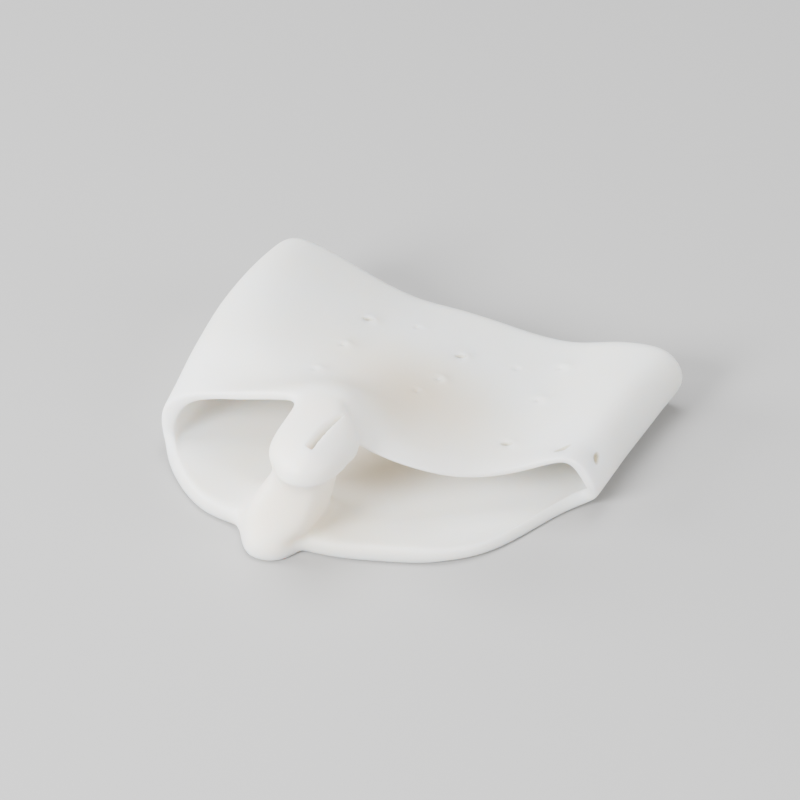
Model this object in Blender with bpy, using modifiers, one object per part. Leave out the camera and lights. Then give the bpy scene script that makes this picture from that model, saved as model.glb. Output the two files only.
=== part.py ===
"""Forefoot sleeve with a toe separator, moulded in one piece from soft silicone gel, for a left foot.

The sleeve is a flat tube that the ball of the foot goes into from behind. At its front a post joins
the top sheet to the sole, between the opening for the big toe and the wide one for the other toes.
Units are metres, +Z is up, +X runs from the big-toe side to the little-toe side, and the toes point to -Y.
The whole moulding is one coarse cage under a Subdivision Surface, with the slot and breather holes cut after.
"""

import math

import bmesh
import bpy
from mathutils import Vector

MM = 0.001

# Sleeve, measured from the front corner of the big-toe side wall
SLEEVE_WIDTH = 92.4 * MM         # outer wall to outer wall at the back
FRONT_TAPER = 2.4 * MM           # narrower by this much at the front
SIDE_WALL_LENGTH = 53.9 * MM     # the big-toe side wall, front rim to back rim
SIDE_WALL_BULGE = 1.1 * MM       # this wall bows out by this much half way along
SIDE_WALL_SETBACK = 12 * MM      # the little-toe side wall starts this much further back
BACK_RIM_SKEW = 2.5 * MM         # and ends this much further back
SOLE_REACH = 20 * MM             # the sole's lip, forward of the side wall
TOP_REACH = 8.5 * MM             # the top sheet's rim, forward of the side wall
TOP_WALL = 1.9 * MM
SIDE_WALL = 2.3 * MM
SOLE_THICKNESS = 3.2 * MM
LIP_LIFT = 0.3 * MM              # the sole's lip curls up this much
BIG_TOE_LIP_LIFT = 1.2 * MM      # and this much where it meets the big-toe side wall
LITTLE_TOE_LIP_LIFT = 0.6 * MM   # and this much at the little-toe side wall
LIP_SHARPNESS = 0.55             # edge crease of the sole's lip

# Outer heights of the top sheet
BIG_TOE_HEIGHT = 23.5 * MM       # shoulder over the big-toe joint, at the back
SAG_HEIGHT = 12.5 * MM           # low part over the other toes
LITTLE_TOE_HEIGHT = 13.8 * MM    # roll along the little-toe side

# Separator: a post with a rounded head above and a rounded foot below
HEAD_X = 41.35 * MM              # middle of the head, from the big-toe side wall
HEAD_WIDTH = 15.9 * MM
HEAD_REACH = 28.2 * MM           # front of the head, forward of the side wall
HEAD_TOP = 28.1 * MM
HEAD_DEPTH = 7.4 * MM            # the head's underside is this far below its top
NECK_X = 40.4 * MM
NECK_WIDTH = 11.7 * MM
NECK_REACH = 22.8 * MM
NECK_BACK = 9.5 * MM             # back of the neck, forward of the side wall
FOOT_X = 35 * MM                 # the post leans this way as it goes down
FOOT_WIDTH = 14.4 * MM
FOOT_REACH = 26.6 * MM
FOOT_BACK = 5.5 * MM
FOOT_FRONT_WIDTH = 7.5 * MM      # the blunt front of the foot

# Slot along the head, and breather holes through the top sheet
SLOT_LENGTH = 14 * MM
SLOT_WIDTH = 2 * MM
SLOT_DEPTH = 4 * MM              # at its front end
SLOT_RISE = 2.5 * MM             # shallower by this much at its back end
SLOT_OFFSET = 2.1 * MM           # from the head's middle towards the little-toe side
SLOT_REACH = 22.6 * MM           # front end of the slot, forward of the side wall
SLOT_ROUNDING = 0.48             # radius of the slot's ends, as a share of its width
BREATHER_DIAMETER = 1 * MM
BREATHER_SIDES = 6

SMOOTHING = 2                    # subdivision levels of the cage
RING_PLACES = (0.0, 0.08, 0.15, 0.27, 0.6, 1.0)   # rings of the tube, from the front rim to the back rim
POST_STEP = 2                    # the ring that the back of the post stands on

# The lines of the tube that the head and the foot of the post grow from, from the big-toe side
HEAD_LINES = (5, 6, 7, 8)
FOOT_LINES = (23, 22, 21, 20)
LIP_LINES = range(17, 25)        # the lines along the sole's lip
WALL_LINES = (0, 1)              # the lines up the big-toe side wall

# Rows over the top of the head: share of its reach, then for each of four points its shares of the way
# in to the middle, of the head's height that it lies lower, and of the reach that it lies further back
HEAD_ROWS = (
    (0.33, ((0.02, 0.09, 0.0), (0.0, 0.01, 0.0), (0.0, 0.01, 0.0), (0.02, 0.12, 0.0))),
    (0.66, ((0.0, 0.13, 0.0), (0.0, 0.0, 0.0), (0.0, 0.0, 0.0), (0.02, 0.13, 0.0))),
    (1.0, ((0.36, 0.2, 0.13), (0.06, 0.09, 0.01), (0.04, 0.08, 0.0), (0.26, 0.17, 0.1))),
)
# Rings down the post: share of the height under the head, then, from foot to neck, the share of the
# change on the big-toe side, on the little-toe side, and in how far it reaches forward
POST_RINGS = (
    (0.84, 0.86, 0.84, 1.0),
    (0.58, 0.42, 0.62, 0.9),
    (0.32, 0.05, 0.30, 0.5),
)
POST_ROUNDING = 0.12             # how far the post's corners are drawn in

# Breather holes: share of the sleeve's width, share of the side wall's length
BREATHERS = (
    (0.325, 0.20), (0.325, 0.43), (0.325, 0.67), (0.42, 0.76),
    (0.525, 0.33), (0.54, 0.47), (0.545, 0.67), (0.66, 0.74),
    (0.75, 0.26), (0.745, 0.58), (0.745, 0.81), (0.875, 0.27), (0.93, 0.33),
)


def mix(start, end, share):
    return start + (end - start) * share


def shares(size, *parts):
    return [size * part for part in parts]


def tube_lines():
    """The lines of points from the front rim to the back rim, once round the tube.

    Each is its place across, the front rim's place along, its outer height at each ring, and the
    wall's thickness there. They run over the top sheet and back under the sole.
    """
    width, setback = SLEEVE_WIDTH, SIDE_WALL_SETBACK
    big, sag, small = BIG_TOE_HEIGHT, SAG_HEIGHT, LITTLE_TOE_HEIGHT
    left = HEAD_X - HEAD_WIDTH / 2
    right = HEAD_X + HEAD_WIDTH / 2
    top, side, sole = TOP_WALL, SIDE_WALL, SOLE_THICKNESS
    flat = [LIP_LIFT, 0.0, 0.0, 0.0, 0.0, 0.0]
    return (
        # Big-toe side: wall, shoulder and the start of the top sheet
        (0.0, 0.0, shares(big, 0.28, 0.29, 0.30, 0.32, 0.37, 0.38), side),
        (0.018 * width, 0.0, shares(big, 0.50, 0.57, 0.61, 0.73, 0.88, 0.81), side),
        (0.085 * width, -0.1 * TOP_REACH, shares(big, 0.68, 0.78, 0.85, 0.98, 1.12, 0.94), top),
        (0.20 * width, -0.38 * TOP_REACH, shares(big, 0.88, 0.86, 0.87, 0.94, 0.95, 0.78), top),
        (0.28 * width, -0.46 * TOP_REACH, shares(big, 0.97, 0.97, 0.91, 0.87, 0.82, 0.64), top),
        # Root of the separator's head
        (left, -0.5 * TOP_REACH, shares(HEAD_TOP, 0.85, 0.88, 0.83) + shares(sag, 1.60, 1.36, 1.04), top),
        (mix(left, right, 0.33), -0.52 * TOP_REACH,
         shares(HEAD_TOP, 0.94, 0.94, 0.86) + shares(sag, 1.56, 1.31, 1.06), top),
        (mix(left, right, 0.67), -0.64 * TOP_REACH,
         shares(HEAD_TOP, 0.94, 0.93, 0.84) + shares(sag, 1.48, 1.22, 1.05), top),
        (right, -0.97 * TOP_REACH, shares(HEAD_TOP, 0.73, 0.77, 0.73) + shares(sag, 1.40, 1.13, 0.95), top),
        # Low part and the roll along the little-toe side
        (mix(right, width, 0.095), -TOP_REACH, shares(sag, 1.57, 1.54, 1.44, 1.29, 1.05, 0.89), top),
        (mix(right, width, 0.215), -0.85 * TOP_REACH, shares(sag, 1.44, 1.38, 1.31, 1.18, 0.95, 0.83), top),
        (mix(right, width, 0.425), 0.0, shares(sag, 0.95, 0.93, 0.92, 0.87, 0.79, 0.83), top),
        (mix(right, width, 0.63), 0.66 * setback, shares(small, 0.85, 0.81, 0.78, 0.77, 0.82, 0.95), top),
        (mix(right, width, 0.815), 0.9 * setback, shares(small, 1.13, 1.06, 1.0, 0.97, 1.0, 1.07), top),
        (mix(right, width, 0.91), setback, shares(small, 0.88, 0.87, 0.86, 0.87, 0.91, 0.95), side),
        (width, setback, shares(small, 0.44, 0.43, 0.43, 0.43, 0.45, 0.48), side),
        # Sole, back to the big-toe side
        (0.966 * width, 1.37 * setback,
         [LITTLE_TOE_LIP_LIFT] + shares(small, 0.03, 0.03, 0.03, 0.03, 0.03), side),
        (0.89 * width, 0.50 * setback, flat, sole),
        (0.79 * width, -0.61 * SOLE_REACH, flat, sole),
        (0.63 * width, -0.92 * SOLE_REACH, flat, sole),
        (FOOT_X + 0.5 * FOOT_WIDTH, -0.97 * SOLE_REACH, flat, sole),
        (FOOT_X + FOOT_FRONT_WIDTH / 2, -FOOT_REACH, flat, sole),
        (FOOT_X - FOOT_FRONT_WIDTH / 2, -FOOT_REACH, flat, sole),
        (FOOT_X - 0.5 * FOOT_WIDTH, -0.91 * SOLE_REACH, flat, sole),
        (0.133 * width, -0.755 * SOLE_REACH, flat, sole),
        (0.012 * width, -0.08 * SOLE_REACH,
         [BIG_TOE_LIP_LIFT] + shares(big, 0.05, 0.05, 0.05, 0.05, 0.05), side),
    )


def outer_points():
    """The outside of the tube as rings of points, ring by ring from the front rim."""
    rings = []
    for step, place in enumerate(RING_PLACES):
        ring = []
        for number, (across, front, heights, _) in enumerate(tube_lines()):
            back = SIDE_WALL_LENGTH + BACK_RIM_SKEW * across / SLEEVE_WIDTH
            along = mix(front, back, place)
            if number in FOOT_LINES and step <= POST_STEP:
                along = mix(front, -FOOT_BACK, step / POST_STEP)
            across -= FRONT_TAPER * (1.0 - place) * across / SLEEVE_WIDTH
            if number in WALL_LINES:
                across -= SIDE_WALL_BULGE * math.sin(math.pi * place)
            ring.append(Vector((across, along, heights[step])))
        rings.append(ring)
    return rings


def inner_points(outer):
    """The inside of the tube: each outer point moved inwards by the wall's thickness there."""
    lines = tube_lines()
    last = len(outer) - 1
    rings = []
    for step, ring in enumerate(outer):
        inner = []
        for number, point in enumerate(ring):
            round_tube = ring[(number + 1) % len(ring)] - ring[number - 1]
            along_tube = outer[min(step + 1, last)][number] - outer[max(step - 1, 0)][number]
            inward = along_tube.cross(round_tube).normalized()
            inner.append(point + inward * lines[number][3])
        rings.append(inner)
    return rings


def post_ring(height, left, right, front, back):
    """Ten points round the post at one height, from its front corner on the big-toe side."""
    middle = (front + back) / 2
    spots = (
        (mix(left, right, POST_ROUNDING), mix(front, back, POST_ROUNDING)),
        (mix(left, right, 1 / 3), front),
        (mix(left, right, 2 / 3), front),
        (mix(right, left, POST_ROUNDING), mix(front, back, POST_ROUNDING)),
        (right, middle),
        (mix(right, left, POST_ROUNDING), mix(back, front, POST_ROUNDING)),
        (mix(left, right, 2 / 3), back),
        (mix(left, right, 1 / 3), back),
        (mix(left, right, POST_ROUNDING), mix(back, front, POST_ROUNDING)),
        (left, middle),
    )
    return [Vector((x, y, height)) for x, y in spots]


def post_rings(root):
    """The rings down the post, from just under the head to just over the sole."""
    rings = []
    for height, left_lean, right_lean, reach in POST_RINGS:
        left = mix(FOOT_X - FOOT_WIDTH / 2, NECK_X - NECK_WIDTH / 2, left_lean)
        right = mix(FOOT_X + FOOT_WIDTH / 2, NECK_X + NECK_WIDTH / 2, right_lean)
        front = -mix(FOOT_REACH, NECK_REACH, reach)
        back = -mix(FOOT_BACK, NECK_BACK, reach)
        rings.append(post_ring(height * root, left, right, front, back))
    return rings


def head_rows():
    """The top of the head, in rows of four points from its root to its front."""
    left = HEAD_X - HEAD_WIDTH / 2
    rows = []
    for reach, points in HEAD_ROWS:
        row = []
        for number, (inset, droop, pull) in enumerate(points):
            across = mix(left + HEAD_WIDTH * number / (len(points) - 1), HEAD_X, inset)
            row.append(Vector((across, -HEAD_REACH * (reach - pull), HEAD_TOP * (1.0 - droop))))
        rows.append(row)
    return rows


def build_cage(name):
    """The closed cage of the moulding: two layers of the tube, the head and the post between them."""
    mesh = bpy.data.meshes.new(name)
    bm = bmesh.new()
    crease = bm.edges.layers.float.new("crease_edge")
    outer_rings = outer_points()
    inner_rings = inner_points(outer_rings)
    count = len(outer_rings[0])
    last = len(outer_rings) - 1
    outer = [[bm.verts.new(point) for point in ring] for ring in outer_rings]
    inner = []
    for step, ring in enumerate(inner_rings):
        under_post = FOOT_LINES[1:-1] if 0 < step < POST_STEP else ()
        inner.append([
            None if number in under_post else bm.verts.new(point)
            for number, point in enumerate(ring)
        ])

    foot_span = range(FOOT_LINES[-1], FOOT_LINES[0])
    head_span = range(HEAD_LINES[0], HEAD_LINES[-1])
    for number in range(count):
        after = (number + 1) % count
        for step in range(last):
            bm.faces.new((outer[step][number], outer[step][after],
                          outer[step + 1][after], outer[step + 1][number]))
            if not (number in foot_span and step < POST_STEP):
                bm.faces.new((inner[step][number], inner[step + 1][number],
                              inner[step + 1][after], inner[step][after]))
        bm.faces.new((outer[last][number], outer[last][after], inner[last][after], inner[last][number]))
        if number not in head_span:
            bm.faces.new((outer[0][number], inner[0][number], inner[0][after], outer[0][after]))

    # Head: its top, its underside in front of the sheet, and the edge round it
    root = HEAD_TOP - HEAD_DEPTH
    top = [[outer[0][number] for number in HEAD_LINES]]
    top += [[bm.verts.new(point) for point in row] for row in head_rows()]
    low = [[inner[0][number] for number in HEAD_LINES]]
    for step, row in enumerate(top[1:], start=1):
        low.append([
            None if step == 2 and 0 < number < 3 else bm.verts.new((vert.co.x, vert.co.y, root))
            for number, vert in enumerate(row)
        ])
    for step in range(3):
        for number in range(3):
            bm.faces.new((top[step][number], top[step][number + 1],
                          top[step + 1][number + 1], top[step + 1][number]))
        for side in (0, 3):
            bm.faces.new((top[step][side], low[step][side], low[step + 1][side], top[step + 1][side]))
    for number in range(3):
        bm.faces.new((low[0][number], low[0][number + 1], low[1][number + 1], low[1][number]))
        bm.faces.new((top[3][number], top[3][number + 1], low[3][number + 1], low[3][number]))

    # Post: rings of ten points from the head's underside down to the sole
    rings = [low[3] + [low[2][3]] + low[1][::-1] + [low[2][0]]]
    for points in post_rings(root):
        rings.append([bm.verts.new(point) for point in points])
    foot = [inner[0][number] for number in FOOT_LINES] + [inner[1][FOOT_LINES[-1]]]
    foot += [inner[POST_STEP][number] for number in reversed(FOOT_LINES)] + [inner[1][FOOT_LINES[0]]]
    rings.append(foot)
    for upper, lower in zip(rings, rings[1:]):
        for number in range(len(upper)):
            after = (number + 1) % len(upper)
            bm.faces.new((upper[number], upper[after], lower[after], lower[number]))

    for layer in (outer, inner):
        for number in LIP_LINES:
            edge = bm.edges.get((layer[0][number], layer[0][number + 1]))
            edge[crease] = LIP_SHARPNESS

    bmesh.ops.recalc_face_normals(bm, faces=bm.faces)
    bm.to_mesh(mesh)
    bm.free()
    mesh.shade_smooth()
    return mesh


def build_cutter(name):
    """The slot in the head and the breather holes, as separate plugs in one mesh."""
    mesh = bpy.data.meshes.new(name)
    bm = bmesh.new()

    # The slot's plug is centred on the head's top, so its lower half is the slot
    plug = bmesh.ops.create_cube(bm, size=1.0)["verts"]
    bmesh.ops.scale(bm, verts=plug, vec=(SLOT_WIDTH, SLOT_LENGTH, 2 * SLOT_DEPTH))
    uprights = [edge for edge in bm.edges if abs(edge.verts[0].co.z - edge.verts[1].co.z) > SLOT_DEPTH]
    bmesh.ops.bevel(bm, geom=uprights, offset=SLOT_ROUNDING * SLOT_WIDTH, segments=3, affect="EDGES")
    for vert in bm.verts:
        if vert.co.z < 0.0:
            vert.co.z += SLOT_RISE * (0.5 + vert.co.y / SLOT_LENGTH)
    place = Vector((HEAD_X + SLOT_OFFSET, SLOT_LENGTH / 2 - SLOT_REACH, HEAD_TOP))
    bmesh.ops.translate(bm, verts=bm.verts, vec=place)

    # The pins start over the sole's inside, so that they pass through the top sheet only
    start = SOLE_THICKNESS + TOP_WALL
    for across, along in BREATHERS:
        pin = bmesh.ops.create_cone(
            bm, cap_ends=True, segments=BREATHER_SIDES,
            radius1=BREATHER_DIAMETER / 2, radius2=BREATHER_DIAMETER / 2, depth=HEAD_TOP,
        )["verts"]
        spot = Vector((across * SLEEVE_WIDTH, along * SIDE_WALL_LENGTH, start + HEAD_TOP / 2))
        bmesh.ops.translate(bm, verts=pin, vec=spot)
    bmesh.ops.recalc_face_normals(bm, faces=bm.faces)
    bm.to_mesh(mesh)
    bm.free()
    return mesh


def gel_material():
    material = bpy.data.materials.new("milky_silicone_gel")
    material.use_nodes = True
    shader = material.node_tree.nodes["Principled BSDF"]
    shader.inputs["Base Color"].default_value = (0.78, 0.76, 0.71, 1.0)
    shader.inputs["Roughness"].default_value = 0.42
    shader.inputs["Metallic"].default_value = 0.0
    shader.inputs["Subsurface Weight"].default_value = 0.5
    shader.inputs["Subsurface Radius"].default_value = (0.006, 0.005, 0.004)
    return material


def main():
    for old in list(bpy.data.objects):
        bpy.data.objects.remove(old, do_unlink=True)
    parts = bpy.data.collections.new("Forefoot sleeve")
    cutters = bpy.data.collections.new("Cutters")
    bpy.context.scene.collection.children.link(parts)
    bpy.context.scene.collection.children.link(cutters)

    sleeve = bpy.data.objects.new("forefoot_sleeve", build_cage("forefoot_sleeve"))
    sleeve.data.materials.append(gel_material())
    parts.objects.link(sleeve)
    cutter = bpy.data.objects.new("slot_and_breather_cutter", build_cutter("slot_and_breather_cutter"))
    cutter.display_type = "WIRE"
    cutter.hide_render = True
    cutters.objects.link(cutter)

    smooth = sleeve.modifiers.new("Smooth moulding", "SUBSURF")
    smooth.levels = SMOOTHING
    smooth.render_levels = SMOOTHING
    cut = sleeve.modifiers.new("Slot and breather holes", "BOOLEAN")
    cut.operation = "DIFFERENCE"
    cut.solver = "EXACT"
    cut.object = cutter

    # The model's origin is the middle of the bottom of its box
    bpy.context.view_layer.update()
    shaped = sleeve.evaluated_get(bpy.context.evaluated_depsgraph_get())
    corners = [Vector(corner) for corner in shaped.bound_box]
    low = [min(corner[axis] for corner in corners) for axis in range(3)]
    high = [max(corner[axis] for corner in corners) for axis in range(3)]
    shift = Vector((-(low[0] + high[0]) / 2, -(low[1] + high[1]) / 2, -low[2]))
    sleeve.location = shift
    cutter.location = shift
    bpy.context.view_layer.update()


main()
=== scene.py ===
import math

import bmesh
import bpy
from mathutils import Matrix, Quaternion, Vector, noise
from mathutils.bvhtree import BVHTree


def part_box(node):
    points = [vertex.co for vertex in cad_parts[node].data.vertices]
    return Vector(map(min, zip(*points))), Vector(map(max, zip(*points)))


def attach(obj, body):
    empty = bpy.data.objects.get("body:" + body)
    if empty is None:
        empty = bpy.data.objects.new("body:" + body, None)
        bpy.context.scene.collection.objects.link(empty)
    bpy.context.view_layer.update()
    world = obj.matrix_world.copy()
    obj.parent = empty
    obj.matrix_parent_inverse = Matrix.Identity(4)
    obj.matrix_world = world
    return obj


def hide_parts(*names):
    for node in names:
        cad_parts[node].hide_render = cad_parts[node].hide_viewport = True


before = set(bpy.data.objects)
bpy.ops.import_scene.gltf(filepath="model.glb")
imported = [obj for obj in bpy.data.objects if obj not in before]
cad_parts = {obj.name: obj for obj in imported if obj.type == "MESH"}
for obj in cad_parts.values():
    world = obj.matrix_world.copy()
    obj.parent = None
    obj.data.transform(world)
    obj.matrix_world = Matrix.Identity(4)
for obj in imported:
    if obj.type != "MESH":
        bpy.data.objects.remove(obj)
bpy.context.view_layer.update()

# Soft gel sleeve for the ball of the foot, with a toe separator moulded at its front.
# +X to the little-toe side, +Y to the heel, +Z up. The form's sizes are millimetres, and those of the gel,
# the floor and the lamps are metres.
mm = 0.001
cadNode = "forefoot_sleeve"
cadLow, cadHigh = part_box(cadNode)


def mix(start, end, share):
    return start + (end - start) * share


def smoothStep(low, high, value):
    t = min(max((value - low) / (high - low), 0.0), 1.0)
    return t * t * (3 - 2 * t)


# Camera, at the photo's viewing angle
cameraSettings = {
    "azimuth": 23.2,        # degrees, from straight in front towards the little-toe side
    "elevation": 35.0,
    "distance": 800,
    "frameSize": 800,       # pixels
    "pixelsPerMm": 4.9,     # at the aim point
    "aimAcross": 37.8,      # from the front corner of the big-toe side wall
    "aimAlong": 34.5,
    "sensor": 36,
    "nearest": 10,
}


def buildCamera(settings, corner):
    data = bpy.data.cameras.new("photoCamera")
    camera = bpy.data.objects.new("photoCamera", data)
    bpy.context.scene.collection.objects.link(camera)
    azimuth = math.radians(settings["azimuth"])
    elevation = math.radians(settings["elevation"])
    away = Vector((
        math.sin(azimuth) * math.cos(elevation),
        -math.cos(azimuth) * math.cos(elevation),
        math.sin(elevation),
    ))
    aim = corner + Vector((settings["aimAcross"], settings["aimAlong"], 0)) * mm
    camera.location = aim + away * settings["distance"] * mm
    camera.rotation_euler = away.to_track_quat("Z", "Y").to_euler()
    frameWidth = settings["frameSize"] / settings["pixelsPerMm"]
    data.sensor_width = settings["sensor"]
    data.lens = data.sensor_width * settings["distance"] / frameWidth
    data.clip_start = settings["nearest"] * mm
    bpy.context.scene.camera = camera


# The sleeve's own form, from the front corner of its big-toe side wall. Each line runs from the front rim
# to the back rim: its place across, its front end, its wall and its outer heights at the given places.
sleeveForm = {
    "sideLength": 53, "backSkew": 2.5, "frontTaper": 2.4, "width": 92.1, "wallBulge": 1.1,
    "cornerFlare": 0.7, "flareGrowth": 6, "cornerBow": 0.4,
    "rimFade": (0.0, 0.6),  # how far the wall is back to its own thickness, ring by ring from the front rim
    "heightPlaces": (0.0, 0.04, 0.08, 0.14, 0.25, 0.5, 0.75, 1.0),
    "ringPlaces": (0.0, 0.035, 0.08, 0.14, 0.25, 0.42, 0.6, 0.8, 1.0),
    "smoothing": 3,
}
sleeveLines = (
    # big-toe side: wall, shoulder, start of the top sheet
    (0.0, 0.0, 2.6, (6.6, 6.7, 6.8, 7.0, 7.5, 8.5, 8.9, 8.9)),
    (1.7, 0.0, 2.9, (11.8, 12.6, 13.3, 14.2, 16.9, 20.2, 20.7, 19.0)),
    (7.9, -0.9, 1.9, (15.9, 17.1, 18.3, 19.8, 22.6, 25.6, 25.6, 22.1)),
    (18.6, -3.2, 1.9, (20.7, 20.3, 20.0, 20.3, 21.9, 22.1, 20.9, 17.8)),
    (26.0, -3.9, 1.9, (23.4, 22.9, 22.3, 21.2, 20.6, 19.6, 17.7, 14.6)),
    # root of the separator's head
    (33.4, -4.3, 1.9, (25.0, 25.1, 24.6, 23.0, 20.3, 17.8, 15.4, 12.4)),
    (37.8, -4.3, 1.9, (26.9, 26.8, 26.2, 24.5, 20.2, 17.2, 14.8, 12.2)),
    (42.2, -5.1, 1.9, (27.3, 27.1, 26.4, 24.6, 19.8, 16.4, 14.2, 12.0)),
    (45.2, -5.8, 1.9, (27.0, 26.7, 25.9, 23.8, 18.9, 15.8, 13.8, 11.8)),
    (49.3, -8.3, 1.9, (20.2, 20.8, 21.1, 20.6, 17.6, 14.8, 12.9, 11.3)),
    # low part, and the roll along the little-toe side
    (53.4, -8.5, 1.9, (18.9, 19.1, 19.0, 17.9, 16.2, 13.7, 12.1, 10.8)),
    (58.6, -7.2, 1.9, (17.1, 17.2, 17.1, 16.3, 15.0, 12.4, 10.9, 10.0)),
    (67.6, 0.0, 1.9, (11.3, 11.6, 11.8, 11.6, 11.1, 10.1, 9.7, 9.5)),
    (76.4, 7.9, 1.9, (11.0, 11.2, 11.2, 10.8, 10.8, 11.1, 11.7, 12.7)),
    (84.4, 10.8, 1.9, (14.8, 14.7, 14.5, 13.8, 13.4, 13.6, 14.0, 13.7)),
    (88.6, 12.0, 2.3, (12.2, 12.1, 12.0, 11.9, 12.0, 12.3, 12.6, 12.6)),
    (92.1, 12.0, 2.3, (6.1, 6.0, 6.0, 6.0, 6.0, 6.1, 6.4, 6.6)),
    # sole, back to the big-toe side, with the separator's foot; its heights are the lip's and the rest's
    (89.2, 16.5, 2.3, (0.6, 0.4)),
    (83.9, 10.1, 2.0, (0.5, 0)),
    (77.8, -5.8, 2.3, (0.4, 0)),
    (70.2, -13.2, 2.8, (0.3, 0)),
    (60.4, -16.4, 3.2, (0.3, 0)),
    (49.2, -19.8, 3.2, (0.3, 0)),
    (41.4, -20.0, 3.2, (0.3, 0)),
    (39.2, -25.2, 3.2, (0.3, 0)),
    (35.0, -26.4, 3.2, (0.3, 0)),
    (30.8, -25.0, 3.2, (0.3, 0)),
    (26.9, -17.7, 3.2, (0.3, 0)),
    (17.4, -16.9, 3.2, (0.3, 0)),
    (7.0, -8.1, 3.2, (0.4, 0)),
    (1.1, -0.3, 2.3, (1.8, 1.1)),
)
# groups of lines, by their number from the top of the list
wallLines = range(0, 2)
cornerLines = range(14, 18)
topLines = range(0, 16)
soleLines = range(20, 30)
headLines = (5, 6, 7, 8, 9)
footLines = (27, 26, 25, 24, 23)
# lines whose wall is thinner or thicker at the front rim, with its share there
rimWalls = {
    0: 1.4, 1: 1.3, 2: 1.1, 10: 0.4, 11: 0.5, 12: 0.65, 13: 0.75, 14: 0.6,
    16: 1.2, 17: 1.7, 18: 1.35, 19: 1.1, 30: 1.3,
}
# sharpness of the edges, from 0 to 1; the notches are where the separator's foot leaves the lip
edgeSharpness = {
    "lipOutside": 0.55, "lipInside": 0.15, "topRim": 0.25, "backRim": 0.35, "headEdge": 0.45, "notches": 0.6,
}

# The separator, from the same corner: rows of five points over the top of its head, from its root to its
# front, then rings down its post, each with a height, two sides, a front and a back. The head's underside has
# two heights a row, for its two sides.
separatorForm = {
    "headRows": (
        ((33.3, -8.2, 25.3), (37.8, -8.2, 27.5), (42.0, -8.4, 27.9),
         (45.3, -8.6, 27.7), (49.4, -11.5, 24.6)),
        ((33.2, -15.5, 24.8), (37.6, -15.4, 27.6), (41.9, -15.5, 28.1),
         (45.2, -15.5, 28.0), (49.3, -16.5, 24.6)),
        ((33.6, -20.8, 23.2), (37.6, -22.2, 26.6), (41.8, -22.6, 27.6),
         (45.0, -22.6, 27.4), (48.6, -22.2, 24.2)),
        ((37.0, -24.4, 22.8), (39.4, -26.9, 24.5), (42.2, -27.9, 25.3),
         (44.6, -27.5, 25.3), (46.9, -25.6, 23.8)),
    ),
    "undersides": ((19.8, 18.6), (21.2, 21.0), (21.4, 21.4), (21.4, 21.4)),
    "postRings": (
        (17.6, 34.5, 45.8, -22.6, -9.8),
        (12.1, 31.1, 44.6, -23.0, -8.6),
        (6.7, 27.9, 43.2, -24.3, -7.0),
    ),
    "postBack": -5.5,
    "cornerPull": 0.16,      # rounds the post's corners off
}
postRows = 3             # rings of the tube that the post stands on, and rows of the head above it


def valueAt(places, values, place):
    for low, high, start, end in zip(places, places[1:], values, values[1:]):
        if place <= high:
            return mix(start, end, (place - low) / (high - low))
    return values[-1]


def outerRings(form, separator, lines):
    rings = []
    for step, place in enumerate(form["ringPlaces"]):
        ring = []
        for number, (across, front, _, heights) in enumerate(lines):
            back = form["sideLength"] + form["backSkew"] * across / form["width"]
            along = mix(front, back, place)
            if number in footLines and step <= postRows:
                along = mix(front, separator["postBack"], step / postRows)
            across -= form["frontTaper"] * (1 - place) * across / form["width"]
            if number in wallLines:
                across -= form["wallBulge"] * math.sin(math.pi * place)
            if number in cornerLines:
                flare = form["cornerFlare"] if number < cornerLines[-1] else -form["cornerFlare"]
                across += flare * place ** form["flareGrowth"] - form["cornerBow"] * math.sin(math.pi * place)
            ring.append(Vector((across, along, valueAt(form["heightPlaces"], heights, place))))
        rings.append(ring)
    return rings


def innerRings(form, outer, lines):
    last = len(outer) - 1
    rings = []
    for step, ring in enumerate(outer):
        inner = []
        for number, point in enumerate(ring):
            roundTube = ring[(number + 1) % len(ring)] - ring[number - 1]
            alongTube = outer[min(step + 1, last)][number] - outer[max(step - 1, 0)][number]
            inward = alongTube.cross(roundTube).normalized()
            wall = lines[number][2]
            if number in rimWalls and step < len(form["rimFade"]):
                wall *= mix(rimWalls[number], 1, form["rimFade"][step])
            inner.append(point + inward * wall)
        rings.append(inner)
    return rings


# Points round the post at one height, from its front corner on the big-toe side
def postRing(ringSizes, acrossCount, alongCount, cornerPull):
    height, left, right, front, back = ringSizes
    spots = []
    for step in range(acrossCount):
        spots.append((mix(left, right, step / acrossCount), front))
    for step in range(alongCount):
        spots.append((right, mix(front, back, step / alongCount)))
    for step in range(acrossCount):
        spots.append((mix(right, left, step / acrossCount), back))
    for step in range(alongCount):
        spots.append((left, mix(back, front, step / alongCount)))
    middleX, middleY = (left + right) / 2, (front + back) / 2
    halfX, halfY = (right - left) / 2, (back - front) / 2
    points = []
    for x, y in spots:
        u, v = (x - middleX) / halfX, (y - middleY) / halfY
        pull = 1 - cornerPull * (u * v) ** 2
        points.append(Vector((middleX + u * halfX * pull, middleY + v * halfY * pull, height)))
    return points


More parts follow.
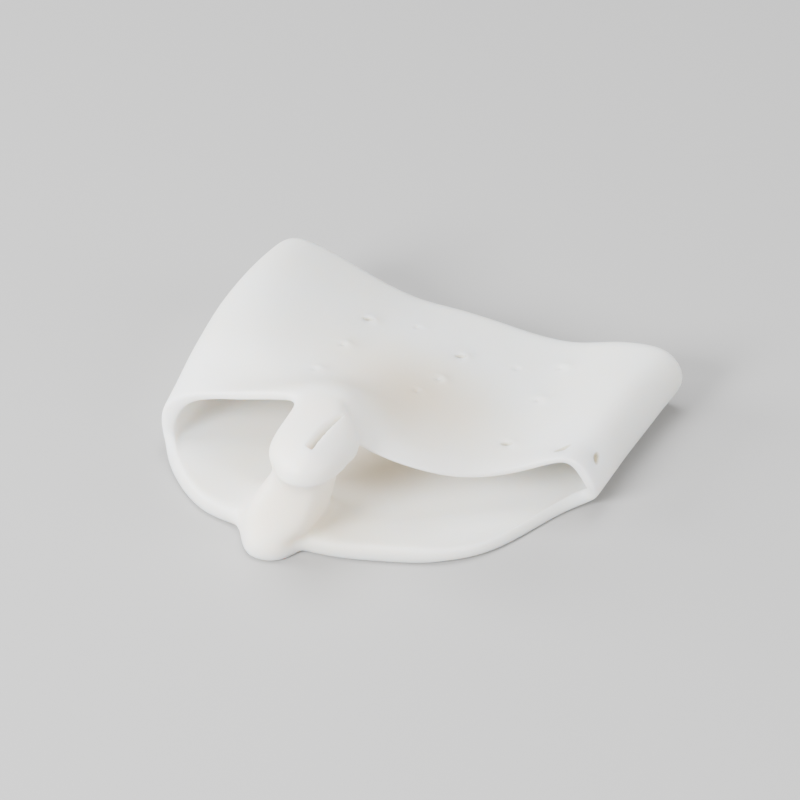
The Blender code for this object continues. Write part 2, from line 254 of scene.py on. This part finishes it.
# A closed cage: the tube's outer and inner rings, and the separator's head and post, joined to both
def buildSleeveCage(form, lines, separator, sharpness):
    bm = bmesh.new()
    crease = bm.edges.layers.float.new("crease_edge")
    notch = bm.verts.layers.float.new("crease_vert")
    outerPoints = outerRings(form, separator, lines)
    innerPoints = innerRings(form, outerPoints, lines)
    count, last = len(lines), len(outerPoints) - 1

    def addPoint(point):
        return bm.verts.new(Vector(point) * mm)

    def addFace(*corners):
        bm.faces.new(corners)

    outer = [[addPoint(point) for point in ring] for ring in outerPoints]
    inner = []
    for step, ring in enumerate(innerPoints):
        hidden = footLines[1:-1] if 0 < step < postRows else ()
        inner.append([None if number in hidden else addPoint(point) for number, point in enumerate(ring)])

    footSpan = range(footLines[-1], footLines[0])
    headSpan = range(headLines[0], headLines[-1])
    for number in range(count):
        after = (number + 1) % count
        for step in range(last):
            here, behind = outer[step], outer[step + 1]
            addFace(here[number], here[after], behind[after], behind[number])
            if not (number in footSpan and step < postRows):
                here, behind = inner[step], inner[step + 1]
                addFace(here[number], behind[number], behind[after], here[after])
        addFace(outer[last][number], outer[last][after], inner[last][after], inner[last][number])
        if number not in headSpan:
            addFace(outer[0][number], inner[0][number], inner[0][after], outer[0][after])

    # head: top, edge and the underside in front of the sheet
    rows = separator["headRows"]
    across = len(headLines) - 1
    top = [[outer[0][number] for number in headLines]]
    top += [[addPoint(point) for point in row] for row in rows]
    low = [[inner[0][number] for number in headLines]]
    for step, row in enumerate(rows, start=1):
        inside = range(1, across) if 1 < step < len(rows) else ()
        bigToeHeight, otherHeight = separator["undersides"][step - 1]
        points = []
        for number, (x, y, _) in enumerate(row):
            height = mix(bigToeHeight, otherHeight, number / across)
            points.append(None if number in inside else addPoint((x, y, height)))
        low.append(points)
    for step in range(len(rows)):
        here, ahead = top[step], top[step + 1]
        for number in range(across):
            addFace(here[number], here[number + 1], ahead[number + 1], ahead[number])
        for edgeLine in (0, across):
            addFace(here[edgeLine], low[step][edgeLine], low[step + 1][edgeLine], ahead[edgeLine])
    for number in range(across):
        addFace(low[0][number], low[0][number + 1], low[1][number + 1], low[1][number])
        addFace(top[-1][number], top[-1][number + 1], low[-1][number + 1], low[-1][number])

    # post: rings from the head's underside down to the sole
    sideRows = list(range(len(rows) - 1, 1, -1))
    ring = low[-1] + [low[step][across] for step in sideRows]
    ring += low[1][::-1] + [low[step][0] for step in reversed(sideRows)]
    rings = [ring]
    for ringSizes in separator["postRings"]:
        points = postRing(ringSizes, across, postRows, separator["cornerPull"])
        rings.append([addPoint(point) for point in points])
    between = range(1, postRows)
    foot = [inner[0][number] for number in footLines]
    foot += [inner[step][footLines[-1]] for step in between]
    foot += [inner[postRows][number] for number in reversed(footLines)]
    foot += [inner[step][footLines[0]] for step in reversed(between)]
    rings.append(foot)
    for upper, lower in zip(rings, rings[1:]):
        for number in range(len(upper)):
            after = (number + 1) % len(upper)
            addFace(upper[number], upper[after], lower[after], lower[number])
    bmesh.ops.recalc_face_normals(bm, faces=bm.faces)

    def creaseRun(ring, numbers, value):
        for number in numbers:
            edge = bm.edges.get((ring[number], ring[(number + 1) % len(ring)]))
            if edge:
                edge[crease] = value

    for layer, lip in ((outer, sharpness["lipOutside"]), (inner, sharpness["lipInside"])):
        creaseRun(layer[0], soleLines, lip)
        creaseRun(layer[0], topLines, sharpness["topRim"])
        creaseRun(layer[last], range(count), sharpness["backRim"])
        for number in (footLines[0], footLines[-1]):
            layer[0][number][notch] = sharpness["notches"]
    creaseRun(rings[0], range(across + postRows - 1), sharpness["headEdge"])
    return bm


def applyModifiers(thing):
    bpy.context.view_layer.update()
    shaped = thing.evaluated_get(bpy.context.evaluated_depsgraph_get())
    made = bpy.data.meshes.new_from_object(shaped)
    old = thing.data
    thing.modifiers.clear()
    thing.data = made
    bpy.data.meshes.remove(old)
    made.name = thing.name


def buildSleeve(form, lines, separator, sharpness):
    bm = buildSleeveCage(form, lines, separator, sharpness)
    mesh = bpy.data.meshes.new("gelSleeve")
    bm.to_mesh(mesh)
    bm.free()
    sleeve = bpy.data.objects.new("gelSleeve", mesh)
    bpy.context.scene.collection.objects.link(sleeve)
    smooth = sleeve.modifiers.new("smooth", "SUBSURF")
    smooth.levels = smooth.render_levels = form["smoothing"]
    applyModifiers(sleeve)
    print("sleeve subdivided,", len(sleeve.data.polygons), "faces")
    return sleeve


# Moves the mesh so that its box and the CAD box have the same middle and bottom, and returns the move
def seat(thing, low, high):
    corners = [vertex.co for vertex in thing.data.vertices]
    own = [(min(c[axis] for c in corners), max(c[axis] for c in corners)) for axis in range(3)]
    shift = Vector((
        (low.x + high.x - own[0][0] - own[0][1]) / 2,
        (low.y + high.y - own[1][0] - own[1][1]) / 2,
        low.z - own[2][0],
    ))
    for vertex in thing.data.vertices:
        vertex.co += shift
    return shift


sleeve = buildSleeve(sleeveForm, sleeveLines, separatorForm, edgeSharpness)
corner = seat(sleeve, cadLow, cadHigh)       # now the place of the wall's front corner
print("sleeve seated, shift", [round(value / mm, 2) for value in corner])

refineRounds = 2         # each halves the edges


# Cuts the faces near some places finer, where small relief is pressed in afterwards
def refine(bm, isNear):
    for _ in range(refineRounds):
        faces = [face for face in bm.faces if isNear(face)]
        edges = list({edge for face in faces for edge in face.edges})
        bmesh.ops.subdivide_edges(bm, edges=edges, cuts=1, use_grid_fill=True, smooth=0.0)
        bm.normal_update()


# Slot in the head: it slopes in from the big-toe side, has a steep wall on the other, and deepens forwards
slotForm = {
    "back": (44.1, -10.4), "front": (43.1, -21.9),
    "low": 22.5,            # nothing below this height is pressed in
    "slope": 1.7, "wall": 0.3, "scoop": 1.6, "ends": 0.8,
    "backNarrow": 0.35, "fullWidthAt": 0.5,      # the slope's share at the back end, and where it is whole
    "deepBack": 1.6, "deepFront": 4.8,
    "margins": (0.4, 2.0), "facingUp": 0.3,
    # the painted shade in the slot: the depth where it is full, and its share
    "shadeFrom": 1.8, "shadeShare": 0.55,
}


# Depth in millimetres at a point, zero outside the slot
def slotDepth(slot, point, corner):
    back = Vector(slot["back"]) + corner.xy / mm
    run = Vector(slot["front"]) + corner.xy / mm - back
    length = run.length
    run.normalize()
    offset = point.xy / mm - back
    along = offset.dot(run)
    side = offset.dot(Vector((-run.y, run.x)))      # to the little-toe side
    share = min(max(along / length, 0), 1)
    slope = slot["slope"] * mix(slot["backNarrow"], 1, smoothStep(0, slot["fullWidthAt"], share))
    middle = slot["slope"] / 2
    into = min(max((side - middle + slope) / slope, 0), 1) ** slot["scoop"]
    into *= 1 - smoothStep(middle, middle + slot["wall"], side)
    into *= smoothStep(-slot["ends"], slot["ends"], along)
    into *= 1 - smoothStep(-slot["ends"] / 2, slot["ends"] / 2, along - length)
    return into * mix(slot["deepBack"], slot["deepFront"], share)


def pressSlot(thing, slot, corner):
    bm = bmesh.new()
    bm.from_mesh(thing.data)
    back, front = (Vector(slot[end]) * mm + corner.xy for end in ("back", "front"))
    middle = (back + front) / 2
    sideMargin, endMargin = slot["margins"]
    reachAcross = (slot["slope"] + slot["wall"] + sideMargin) * mm
    reachAlong = (back - front).length / 2 + endMargin * mm

    def isNear(face):
        place = face.calc_center_median()
        offset = place.xy - middle
        return (place.z > slot["low"] * mm and face.normal.z > slot["facingUp"]
                and abs(offset.y) < reachAlong and abs(offset.x) < reachAcross)

    refine(bm, isNear)
    moves = []
    for vertex in bm.verts:
        if vertex.co.z > slot["low"] * mm and vertex.normal.z > slot["facingUp"]:
            deep = slotDepth(slot, vertex.co, corner)
            if deep > 0:
                moves.append((vertex, deep * mm))
    for vertex, deep in moves:
        vertex.co.z -= deep
    bm.to_mesh(thing.data)
    bm.free()
    return len(moves)


print("slot pressed,", pressSlot(sleeve, slotForm, corner), "points moved")

# Breather holes through the top sheet: place across and along, width, length and turn in degrees of the hole,
# height of the soft mound behind it. The last two are the nicks by the little-toe side.
breatherSizes = {
    "mound": 1.6, "moundShift": 0.77, "dimple": 0.7, "dimpleStretch": 0.25, "dimpleDepth": 0.32,
    "reach": 4.5, "facing": 0.3,                # how far a hole's relief goes, and on which side of the sheet
    "fineReach": 2.6, "fineFacing": 0.5,
    "sides": 14, "drillDepth": 6, "drillStart": 100,
    # painted shade in the holes: its reach, the hole widths over which it grows, and where it fades out
    "shadeReach": 3, "shadeWidths": (0.2, 0.7), "shadeFade": (1.0, 1.5),
}
breathers = (
    (30.0, 36.1, 0.8, 1.9, 23, 0.45), (30.1, 23.3, 0.3, 0.5, 23, 0.40), (29.6, 10.8, 0.3, 0.4, 23, 0.34),
    (38.9, 40.8, 0.2, 0.3, 23, 0.14), (50.2, 36.3, 0.8, 1.9, 23, 0.45), (50.0, 25.3, 0.3, 0.8, 23, 0.45),
    (48.5, 18.1, 0.2, 0.3, 23, 0.14), (61.0, 39.9, 0.2, 0.2, 23, 0.10), (69.0, 43.8, 0.3, 0.5, 23, 0.42),
    (69.0, 31.1, 0.3, 0.5, 23, 0.40), (69.2, 14.1, 0.9, 1.9, 23, 0.35), (80.7, 14.6, 1.0, 3.4, 61, 0.05),
    (86.9, 17.6, 1.3, 2.4, 110, 0.05),
)


def pressBreathers(thing, sizes, spots, corner):
    bm = bmesh.new()
    bm.from_mesh(thing.data)
    tree = BVHTree.FromBMesh(bm)
    centres = []
    for across, along, wide, long, turn, mound in spots:
        above = Vector((across, along, sizes["drillStart"])) * mm + Vector((corner.x, corner.y, 0))
        hit, normal, _, _ = tree.ray_cast(above, Vector((0, 0, -1)))
        if hit:
            centres.append((hit, normal, wide, long, turn, mound))
    fineReach = sizes["fineReach"] * mm

    def isNear(face):
        middle = face.calc_center_median()
        return any((middle - centre).length < fineReach and face.normal.dot(normal) > sizes["fineFacing"]
                   for centre, normal, *_ in centres)

    refine(bm, isNear)
    for centre, normal, wide, long, turn, mound in centres:
        behind = centre + Vector((sizes["moundShift"], sizes["moundShift"], 0)) * mm
        moves = []
        for vertex in bm.verts:
            offset = vertex.co - centre
            if offset.length > sizes["reach"] * mm or vertex.normal.dot(normal) < sizes["facing"]:
                continue
            flat = (offset - normal * offset.dot(normal)).length / mm
            fromMound = vertex.co - behind
            fromMound = (fromMound - normal * fromMound.dot(normal)).length / mm
            rise = mound * math.exp(-(fromMound / sizes["mound"]) ** 2)
            dimple = sizes["dimple"] + sizes["dimpleStretch"] * long
            rise -= sizes["dimpleDepth"] * math.exp(-(flat / dimple) ** 2)
            moves.append((vertex, normal * rise * mm))
        for vertex, move in moves:
            vertex.co += move
    bm.to_mesh(thing.data)
    bm.free()
    return centres


# Directions along a hole, across it and through it; its turn is from the sleeve's width towards the heel
def holeFrame(normal, turn):
    sideways = (Vector((1, 0, 0)) - normal * normal.x).normalized()
    sideways.rotate(Quaternion(normal, math.radians(turn)))
    return Matrix((sideways, normal.cross(sideways), normal))


def drillBreathers(thing, sizes, centres):
    bm = bmesh.new()
    for centre, normal, wide, long, turn, _ in centres:
        facing = holeFrame(normal, turn).transposed().to_4x4()
        facing.translation = centre
        radius, depth = wide / 2 * mm, sizes["drillDepth"] * mm
        made = bmesh.ops.create_cone(
            bm, cap_ends=True, segments=sizes["sides"], radius1=radius, radius2=radius, depth=depth)
        for vertex in made["verts"]:
            vertex.co.x *= long / wide
            vertex.co = facing @ vertex.co
    mesh = bpy.data.meshes.new("breatherDrill")
    bm.to_mesh(mesh)
    bm.free()
    drill = bpy.data.objects.new("breatherDrill", mesh)
    bpy.context.scene.collection.objects.link(drill)
    cut = thing.modifiers.new("breathers", "BOOLEAN")
    cut.operation = "DIFFERENCE"
    cut.solver = "EXACT"
    cut.object = drill
    applyModifiers(thing)
    bpy.data.objects.remove(drill, do_unlink=True)


centres = pressBreathers(sleeve, breatherSizes, breathers, corner)
drillBreathers(sleeve, breatherSizes, centres)
print("breather holes made:", len(centres))

# Moulded gel is never quite even; the sole's underside stays flat
wanderSettings = {"amount": 0.09, "size": 9.0, "seed": 17.0, "flatBelow": 0.4, "wholeFrom": 3.0}


def wander(thing, settings):
    moves = []
    for vertex in thing.data.vertices:
        place = vertex.co / (settings["size"] * mm) + Vector((settings["seed"], 0, 0))
        keep = smoothStep(settings["flatBelow"] * mm, settings["wholeFrom"] * mm, vertex.co.z)
        moves.append(vertex.normal * noise.noise(place) * settings["amount"] * mm * keep)
    for vertex, move in zip(thing.data.vertices, moves):
        vertex.co += move


wander(sleeve, wanderSettings)


# Notes how deep in the slot or in a hole each point lies, for the painted shade in these recesses
def markHollowShade(thing, slot, sizes, centres, corner):
    holes = []
    for centre, normal, wide, long, turn, _ in centres:
        holes.append((centre, holeFrame(normal, turn), wide, long, smoothStep(*sizes["shadeWidths"], wide)))
    marks = thing.data.attributes.new("hollowShade", "FLOAT", "POINT")
    for vertex in thing.data.vertices:
        value = 0.0
        if vertex.co.z > (slot["low"] - slot["deepFront"]) * mm:
            value = min(slotDepth(slot, vertex.co, corner) / slot["shadeFrom"], 1) * slot["shadeShare"]
        for centre, facing, wide, long, share in holes:
            offset = vertex.co - centre
            if offset.length_squared < (sizes["shadeReach"] * mm) ** 2:
                place = facing @ offset / mm
                out = math.hypot(place.x / (long / 2), place.y / (wide / 2))
                value = max(value, share * (1 - smoothStep(*sizes["shadeFade"], out)))
        marks.data[vertex.index].value = value


markHollowShade(sleeve, slotForm, breatherSizes, centres, corner)
for polygon in sleeve.data.polygons:
    polygon.use_smooth = True
print("surface unevenness added,", len(sleeve.data.polygons), "faces")

# Milky gel
gelSettings = {
    "pale": (0.90, 0.882, 0.84, 1), "warm": (0.91, 0.86, 0.78, 1),
    "cloudScale": 55, "cloudDetail": 4, "cloudEnds": (0.3, 0.62),
    "scatter": 1.0, "scatterDepth": 0.0045, "scatterShades": (1.0, 0.82, 0.66), "refraction": 1.41,
    "roughLow": 0.34, "roughHigh": 0.50,
    "grainScale": 900, "grainDetail": 3, "grainStrength": 0.12, "grainDepth": 0.0001,
    # painted shade in the slot and the holes
    "hollowShade": (0.60, 0.57, 0.48, 1),
    # painted shade, darker towards the bottom of the sleeve up to the given height
    "bottomShade": (0.70, 0.69, 0.66, 1), "bottomShadeTop": 0.0036, "bottomShadeShare": 0.65,
    # place, reach, share and colour of: painted shade with a warmer gel tone on the sheet beside the head;
    # the warmer tone of the thick post; painted shadow in the corner behind it; painted light on the big-toe
    # wall and rolled edge
    "tintAndPaintedLightSpots": (
        ((0.004, 0.003, 0.017), 0.025, 0.9, (0.70, 0.61, 0.49, 1)),
        ((-0.003, -0.029, 0.009), 0.019, 0.75, (0.90, 0.79, 0.63, 1)),
        ((-0.002, -0.008, 0.004), 0.015, 0.9, (0.56, 0.50, 0.39, 1)),
        ((-0.043, -0.012, 0.009), 0.020, 0.9, (0.96, 0.955, 0.94, 1)),
        ((0.041, 0.000, 0.011), 0.014, 0.9, (0.96, 0.955, 0.94, 1)),
    ),
}


# Lays one colour over what is there, as far as the share says
def blendColour(tree, share, under, over):
    blend = tree.nodes.new("ShaderNodeMix")
    blend.data_type = "RGBA"
    blend.inputs["B"].default_value = over
    tree.links.new(share, blend.inputs["Factor"])
    tree.links.new(under, blend.inputs["A"])
    return blend.outputs["Result"]


def buildGel(gel):
    material = bpy.data.materials.new("milkySiliconeGel")
    material.use_nodes = True
    tree = material.node_tree
    shader = tree.nodes["Principled BSDF"]
    place = tree.nodes.new("ShaderNodeTexCoord")
    cloud = tree.nodes.new("ShaderNodeTexNoise")
    cloud.inputs["Scale"].default_value = gel["cloudScale"]
    cloud.inputs["Detail"].default_value = gel["cloudDetail"]
    tree.links.new(place.outputs["Object"], cloud.inputs["Vector"])
    tint = tree.nodes.new("ShaderNodeValToRGB")
    shades = (gel["warm"], gel["pale"])
    for element, position, shade in zip(tint.color_ramp.elements, gel["cloudEnds"], shades):
        element.position = position
        element.color = shade
    tree.links.new(cloud.outputs["Fac"], tint.inputs["Fac"])

    # warmer over the thick post; painted shade beside the head, behind the post, in the slot, in the holes
    # and darker towards the bottom; painted light on the big-toe wall and the rolled edge
    colour = tint.outputs["Color"]
    for centre, reach, share, shade in gel["tintAndPaintedLightSpots"]:
        spot = tree.nodes.new("ShaderNodeVectorMath")
        spot.operation = "DISTANCE"
        spot.inputs[1].default_value = centre
        tree.links.new(place.outputs["Object"], spot.inputs[0])
        fade = tree.nodes.new("ShaderNodeMapRange")
        fade.interpolation_type = "SMOOTHSTEP"
        fade.inputs["From Max"].default_value = reach
        fade.inputs["To Min"].default_value = share
        fade.inputs["To Max"].default_value = 0
        tree.links.new(spot.outputs["Value"], fade.inputs["Value"])
        colour = blendColour(tree, fade.outputs["Result"], colour, shade)
    # painted shade, darker towards the bottom of the sleeve
    height = tree.nodes.new("ShaderNodeSeparateXYZ")
    tree.links.new(place.outputs["Object"], height.inputs["Vector"])
    bottomShadeFade = tree.nodes.new("ShaderNodeMapRange")
    bottomShadeFade.inputs["From Max"].default_value = gel["bottomShadeTop"]
    bottomShadeFade.inputs["To Min"].default_value = gel["bottomShadeShare"]
    bottomShadeFade.inputs["To Max"].default_value = 0
    tree.links.new(height.outputs["Z"], bottomShadeFade.inputs["Value"])
    colour = blendColour(tree, bottomShadeFade.outputs["Result"], colour, gel["bottomShade"])
    # painted shade in the slot and the holes, by how deep each point lies
    hollowShade = tree.nodes.new("ShaderNodeAttribute")
    hollowShade.attribute_name = "hollowShade"
    colour = blendColour(tree, hollowShade.outputs["Fac"], colour, gel["hollowShade"])
    tree.links.new(colour, shader.inputs["Base Color"])

    # satin grain
    grain = tree.nodes.new("ShaderNodeTexNoise")
    grain.inputs["Scale"].default_value = gel["grainScale"]
    grain.inputs["Detail"].default_value = gel["grainDetail"]
    tree.links.new(place.outputs["Object"], grain.inputs["Vector"])
    rough = tree.nodes.new("ShaderNodeMapRange")
    rough.inputs["To Min"].default_value = gel["roughLow"]
    rough.inputs["To Max"].default_value = gel["roughHigh"]
    tree.links.new(grain.outputs["Fac"], rough.inputs["Value"])
    tree.links.new(rough.outputs["Result"], shader.inputs["Roughness"])
    bump = tree.nodes.new("ShaderNodeBump")
    bump.inputs["Strength"].default_value = gel["grainStrength"]
    bump.inputs["Distance"].default_value = gel["grainDepth"]
    tree.links.new(grain.outputs["Fac"], bump.inputs["Height"])
    tree.links.new(bump.outputs["Normal"], shader.inputs["Normal"])
    shader.inputs["IOR"].default_value = gel["refraction"]
    shader.inputs["Subsurface Weight"].default_value = gel["scatter"]
    shader.inputs["Subsurface Radius"].default_value = gel["scatterShades"]
    shader.inputs["Subsurface Scale"].default_value = gel["scatterDepth"]
    return material


sleeve.data.materials.clear()
sleeve.data.materials.append(buildGel(gelSettings))
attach(sleeve, "root")
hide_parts(cadNode)
print("gel finish on")

# Pale floor and soft light: a low key lamp from the front that reaches into the openings, one from each side
# and one above. Each lamp points at the middle of the floor.
studioSettings = {
    "floorSize": 3.0, "floorDrop": 0.0001, "floorColour": (0.40, 0.40, 0.40, 1), "floorRough": 0.6,
    "roomColour": (1, 0.99, 0.97, 1), "roomLight": 0.3,
}
lamps = {
    "keyLamp": {"place": (-0.32, -0.80, 0.48), "size": 0.35, "power": 22},
    "leftLamp": {"place": (-0.85, -0.2, 0.38), "size": 0.4, "power": 12},
    "sideLamp": {"place": (0.8, -0.15, 0.42), "size": 0.5, "power": 7},
    "topLamp": {"place": (-0.1, 0.15, 0.8), "size": 0.5, "power": 7.5},
}


def buildStudio(studio, lamps):
    bpy.ops.mesh.primitive_plane_add(size=studio["floorSize"], location=(0, 0, -studio["floorDrop"]))
    floor = bpy.context.object
    floor.name = "paleFloor"
    material = bpy.data.materials.new("paleFloor")
    material.use_nodes = True
    shader = material.node_tree.nodes["Principled BSDF"]
    shader.inputs["Base Color"].default_value = studio["floorColour"]
    shader.inputs["Roughness"].default_value = studio["floorRough"]
    floor.data.materials.append(material)
    world = bpy.data.worlds.new("softRoom")
    world.use_nodes = True
    background = world.node_tree.nodes["Background"]
    background.inputs["Color"].default_value = studio["roomColour"]
    background.inputs["Strength"].default_value = studio["roomLight"]
    bpy.context.scene.world = world
    for name, lamp in lamps.items():
        data = bpy.data.lights.new(name, "AREA")
        data.energy = lamp["power"]
        data.size = lamp["size"]
        thing = bpy.data.objects.new(name, data)
        thing.location = lamp["place"]
        thing.rotation_euler = Vector(lamp["place"]).to_track_quat("Z", "Y").to_euler()
        bpy.context.scene.collection.objects.link(thing)


buildCamera(cameraSettings, Vector((corner.x, corner.y, 0)))
buildStudio(studioSettings, lamps)
print("camera and light set")
